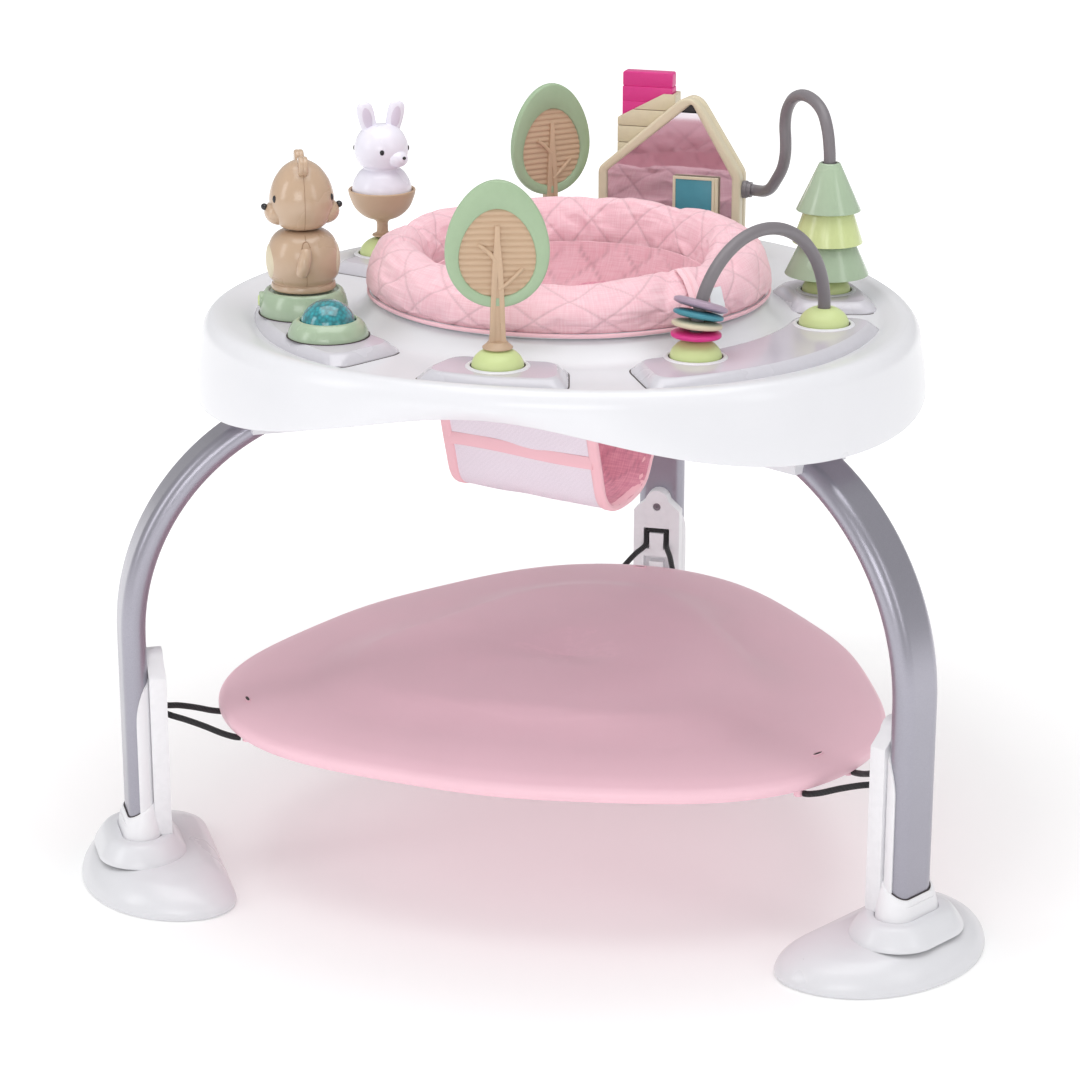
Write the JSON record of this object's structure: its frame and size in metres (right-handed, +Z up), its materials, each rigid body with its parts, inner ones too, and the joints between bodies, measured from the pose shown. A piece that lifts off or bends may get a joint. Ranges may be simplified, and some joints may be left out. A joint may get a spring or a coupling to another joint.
{
  "type": "activity jumper",
  "caption": "Baby activity jumper with a lobed toy tray on arched legs, a turning padded seat and a sprung pink foot board.",
  "frame": {"origin": "middle of the outline on the floor, under the legs", "axes": "+Z up, +Y towards the rear leg, +X to the right of somebody who faces the rear leg"},
  "size_m": [0.7902, 0.7286, 0.6561],
  "materials": {
    "white_shell": "smooth moulded, semi-gloss",
    "leg_paint": "satin metallic powder coat",
    "toy_lilac": "glossy moulded",
    "toy_lime": "satin moulded",
    "toy_sage": "satin moulded",
    "toy_tan": "satin moulded",
    "toy_cream": "satin moulded",
    "toy_magenta": "satin moulded",
    "toy_teal": "satin moulded",
    "toy_mauve": "satin moulded",
    "toy_white": "smooth moulded, semi-gloss",
    "tube_grey": "satin moulded",
    "orb_clear": "tinted clear plastic with faceted inside",
    "mirror_face": "plastic mirror",
    "seat_fabric": "quilted slub cotton over foam",
    "sling_mesh": "fine mesh with bound edges",
    "board_pink": "satin moulded",
    "bungee_cord": "braided elastic",
    "dark_plastic": "moulded",
    "screw_steel": "zinc plated",
    "foot_rubber": "soft rubber"
  },
  "bodies": {
    "frame": {"tray_top": "white_shell", "seat_support_ring": "white_shell", "leg_sockets": "white_shell", "sound_module": "dark_plastic", "battery_cover": "white_shell", "leg_tube_left": "leg_paint", "leg_tube_right": "leg_paint", "leg_tube_rear": "leg_paint", "leg_shroud_left": "white_shell", "leg_shroud_right": "white_shell", "leg_shroud_rear": "white_shell", "shroud_screws": "screw_steel", "foot_base_left": "white_shell", "foot_base_right": "white_shell", "foot_base_rear": "white_shell", "foot_cap_left": "white_shell", "foot_cap_right": "white_shell", "foot_cap_rear": "white_shell", "foot_pads": "foot_rubber", "plate_front_tree": "toy_lilac", "plate_beads": "toy_lilac", "plate_pine": "toy_lilac", "plate_house": "toy_lilac", "plate_bunny": "toy_lilac", "plate_bear": "toy_lilac", "toy_domes": "toy_lime", "arch_tube": "tube_grey", "wire_tube": "tube_grey", "wire_socket": "tube_grey", "bear_base": "toy_sage", "orb_ring": "toy_sage", "house_frame": "toy_cream", "house_mirror": "mirror_face", "chimney_stack": "toy_cream", "bungee_left": "bungee_cord", "bungee_right": "bungee_cord", "bungee_rear": "bungee_cord"},
    "seat": {"seat_ring": "white_shell", "seat_pad": "seat_fabric", "seat_sling": "sling_mesh"},
    "foot_board": {"foot_board": "board_pink"},
    "front_tree": {"front_tree_crown": "toy_sage", "front_tree_trunk": "toy_tan"},
    "back_tree": {"back_tree_crown": "toy_sage", "back_tree_trunk": "toy_tan"},
    "bear": {"bear_body": "toy_tan"},
    "bear_head": {"bear_head": "toy_tan"},
    "bear_button": {"bear_button": "toy_lime"},
    "orb": {"orb_dome": "orb_clear"},
    "bunny_bowl": {"bunny_bowl": "toy_tan"},
    "bunny": {"bunny_figure": "toy_white"},
    "bead_magenta": {"bead_magenta": "toy_magenta"},
    "bead_cream": {"bead_cream": "toy_cream"},
    "bead_teal": {"bead_teal": "toy_teal"},
    "bead_mauve": {"bead_mauve": "toy_mauve"},
    "cone_low": {"pine_cone_low": "toy_sage"},
    "cone_mid": {"pine_cone_mid": "toy_lime"},
    "cone_top": {"pine_cone_top": "toy_sage"},
    "door": {"house_door": "toy_teal"},
    "chimney_block": {"chimney_block": "toy_magenta"}
  },
  "joints": [
    {"name": "seat_spin", "type": "hinge", "parent": "frame", "child": "seat", "pos_m": [0, -0.07265, 0.5], "axis": [0, 0, 1], "continuous": true},
    {"name": "board_bounce", "type": "slide", "parent": "frame", "child": "foot_board", "axis": [0, 0, 1], "range_m": [-0.05, 0.015], "stiffness_N_per_m": 2000, "springref_m": 0.00717, "deforming": ["bungee_left", "bungee_right", "bungee_rear"]},
    {"name": "front_tree_spin", "type": "hinge", "parent": "frame", "child": "front_tree", "pos_m": [-0.003, -0.29165, 0.504], "axis": [0, 0, 1], "continuous": true},
    {"name": "back_tree_spin", "type": "hinge", "parent": "frame", "child": "back_tree", "pos_m": [-0.069, 0.13235, 0.504], "axis": [0, 0, 1], "continuous": true},
    {"name": "bear_spin", "type": "hinge", "parent": "frame", "child": "bear", "pos_m": [-0.207, -0.16465, 0.511], "axis": [0, 0, 1], "continuous": true},
    {"name": "bear_head_spin", "type": "hinge", "parent": "bear", "child": "bear_head", "pos_m": [-0.207, -0.16465, 0.562], "axis": [0, 0, 1], "continuous": true},
    {"name": "bear_button_press", "type": "slide", "parent": "frame", "child": "bear_button", "axis": [-0.9397, -0.342, 0], "range_m": [-0.003, 0], "stiffness_N_per_m": 150},
    {"name": "orb_press", "type": "slide", "parent": "frame", "child": "orb", "axis": [0, 0, 1], "range_m": [-0.003, 0], "stiffness_N_per_m": 400, "springref_m": 0.001},
    {"name": "bunny_tilt", "type": "hinge", "parent": "frame", "child": "bunny_bowl", "pos_m": [-0.208, 0.06135, 0.505], "axis": [0, 1, 0], "range_deg": [-12, 12], "stiffness_Nm_per_rad": 0.6},
    {"name": "bunny_spin", "type": "hinge", "parent": "bunny_bowl", "child": "bunny", "pos_m": [-0.208, 0.06135, 0.541], "axis": [0, 0, 1], "continuous": true},
    {"name": "bead_magenta_slide", "type": "hinge", "parent": "frame", "child": "bead_magenta", "pos_m": [0.1835, -0.16015, 0.505], "axis": [-0.8499, 0.527, 0], "range_deg": [0, 120]},
    {"name": "bead_cream_slide", "type": "hinge", "parent": "bead_magenta", "child": "bead_cream", "pos_m": [0.1835, -0.16015, 0.505], "axis": [-0.8499, 0.527, 0], "range_deg": [0, 10]},
    {"name": "bead_teal_slide", "type": "hinge", "parent": "bead_cream", "child": "bead_teal", "pos_m": [0.1835, -0.16015, 0.505], "axis": [-0.8499, 0.527, 0], "range_deg": [0, 10]},
    {"name": "bead_mauve_slide", "type": "hinge", "parent": "bead_teal", "child": "bead_mauve", "pos_m": [0.1835, -0.16015, 0.505], "axis": [-0.8499, 0.527, 0], "range_deg": [0, 10]},
    {"name": "cone_low_spin", "type": "hinge", "parent": "frame", "child": "cone_low", "pos_m": [0.206, 0.02335, 0.541], "axis": [0, 0, 1], "continuous": true},
    {"name": "cone_mid_spin", "type": "hinge", "parent": "frame", "child": "cone_mid", "pos_m": [0.206, 0.02335, 0.57], "axis": [0, 0, 1], "continuous": true},
    {"name": "cone_top_spin", "type": "hinge", "parent": "frame", "child": "cone_top", "pos_m": [0.206, 0.02335, 0.602], "axis": [0, 0, 1], "continuous": true},
    {"name": "door_swing", "type": "hinge", "parent": "frame", "child": "door", "pos_m": [0.08547, 0.13352, 0.53], "axis": [0, 0, 1], "range_deg": [0, 95]},
    {"name": "chimney_push", "type": "slide", "parent": "frame", "child": "chimney_block", "axis": [0, 0, 1], "range_m": [-0.025, 0]}
  ]
}
